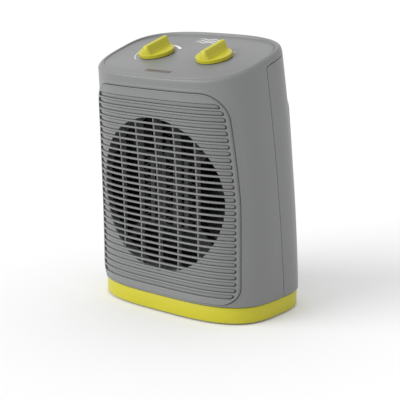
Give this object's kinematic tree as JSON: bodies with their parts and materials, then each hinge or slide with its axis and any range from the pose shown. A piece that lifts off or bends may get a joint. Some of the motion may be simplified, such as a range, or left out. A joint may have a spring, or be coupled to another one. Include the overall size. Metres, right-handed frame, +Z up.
{
  "type": "ceramic fan heater",
  "caption": "Compact upright ceramic fan heater: tapered grey housing, slatted front outlet, rear intake, two winged control knobs on a sloping top and a coloured plinth.",
  "frame": {"origin": "on the floor, under the middle of the whole heater's bounding box", "axes": "+Z up, the warm air leaves towards -Y, +X to the right of someone facing the front"},
  "size_m": [0.2004, 0.1443, 0.2666],
  "materials": {
    "grey_shell": "fine satin moulding texture",
    "grey_grille": "fine satin moulding texture",
    "yellow_plastic": "satin",
    "black_plastic": "matte",
    "rubber": "matte",
    "lens": "translucent gloss",
    "lamp_glass": "clear",
    "zinc_steel": "zinc plated",
    "ceramic_white": "unglazed",
    "cream_plastic": "satin",
    "lamination": "varnished laminations",
    "bronze": "sintered",
    "bright_steel": "ground",
    "grey_fan": "satin",
    "heat_plastic": "matte",
    "aluminium": "rolled strip",
    "brass": "stamped",
    "lead_jacket": "silicone",
    "black_steel": "black phosphate"
  },
  "bodies": {
    "housing": {"front_shell": "grey_shell", "front_grille": "grey_grille", "rear_shell": "grey_shell", "rear_grille": "grey_grille", "base_plinth": "yellow_plastic", "base_plate": "black_plastic", "foot_pads": "rubber", "indicator_lens": "lens", "indicator_lamp": "lamp_glass", "control_bracket": "zinc_steel", "thermostat_body": "ceramic_white", "selector_body": "black_plastic", "fan_duct": "black_plastic", "motor_bracket": "zinc_steel", "motor_can": "zinc_steel", "motor_stator": "lamination", "motor_bushings": "bronze", "heater_frame": "heat_plastic", "ceramic_bars": "ceramic_white", "heater_fins": "aluminium", "heater_terminals": "brass", "thermal_cutout": "ceramic_white", "thermal_fuse": "bright_steel", "tip_switch": "black_plastic", "tip_spring": "bright_steel", "terminal_block": "cream_plastic", "cord_gland": "rubber", "inner_leads": "lead_jacket", "rear_screws": "black_steel", "base_screws": "black_steel", "motor_screws": "zinc_steel", "bracket_screws": "zinc_steel"},
    "thermostat_dial": {"thermostat_knob": "yellow_plastic", "thermostat_spindle": "cream_plastic"},
    "selector_dial": {"selector_knob": "yellow_plastic", "selector_spindle": "cream_plastic"},
    "fan": {"impeller": "grey_fan", "impeller_nut": "zinc_steel", "motor_rotor": "lamination", "motor_shaft": "bright_steel"},
    "plunger": {"tip_plunger": "cream_plastic"}
  },
  "joints": [
    {"name": "thermostat_turn", "type": "hinge", "parent": "housing", "child": "thermostat_dial", "pos_m": [-0.036, -0.018, 0.24874], "axis": [0, -0.2718, 0.9624], "range_deg": [-270, 0]},
    {"name": "selector_turn", "type": "hinge", "parent": "housing", "child": "selector_dial", "pos_m": [0.036, -0.018, 0.24874], "axis": [0, -0.2718, 0.9624], "range_deg": [-135, 0]},
    {"name": "fan_spin", "type": "hinge", "parent": "housing", "child": "fan", "pos_m": [0, 0, 0.1187], "axis": [0, 1, 0], "continuous": true},
    {"name": "tip_slide", "type": "slide", "parent": "housing", "child": "plunger", "axis": [0, 0, -1], "range_m": [-0.0005, 0.004], "stiffness_N_per_m": 60, "springref_m": 0.007, "deforming": ["tip_spring"]}
  ]
}
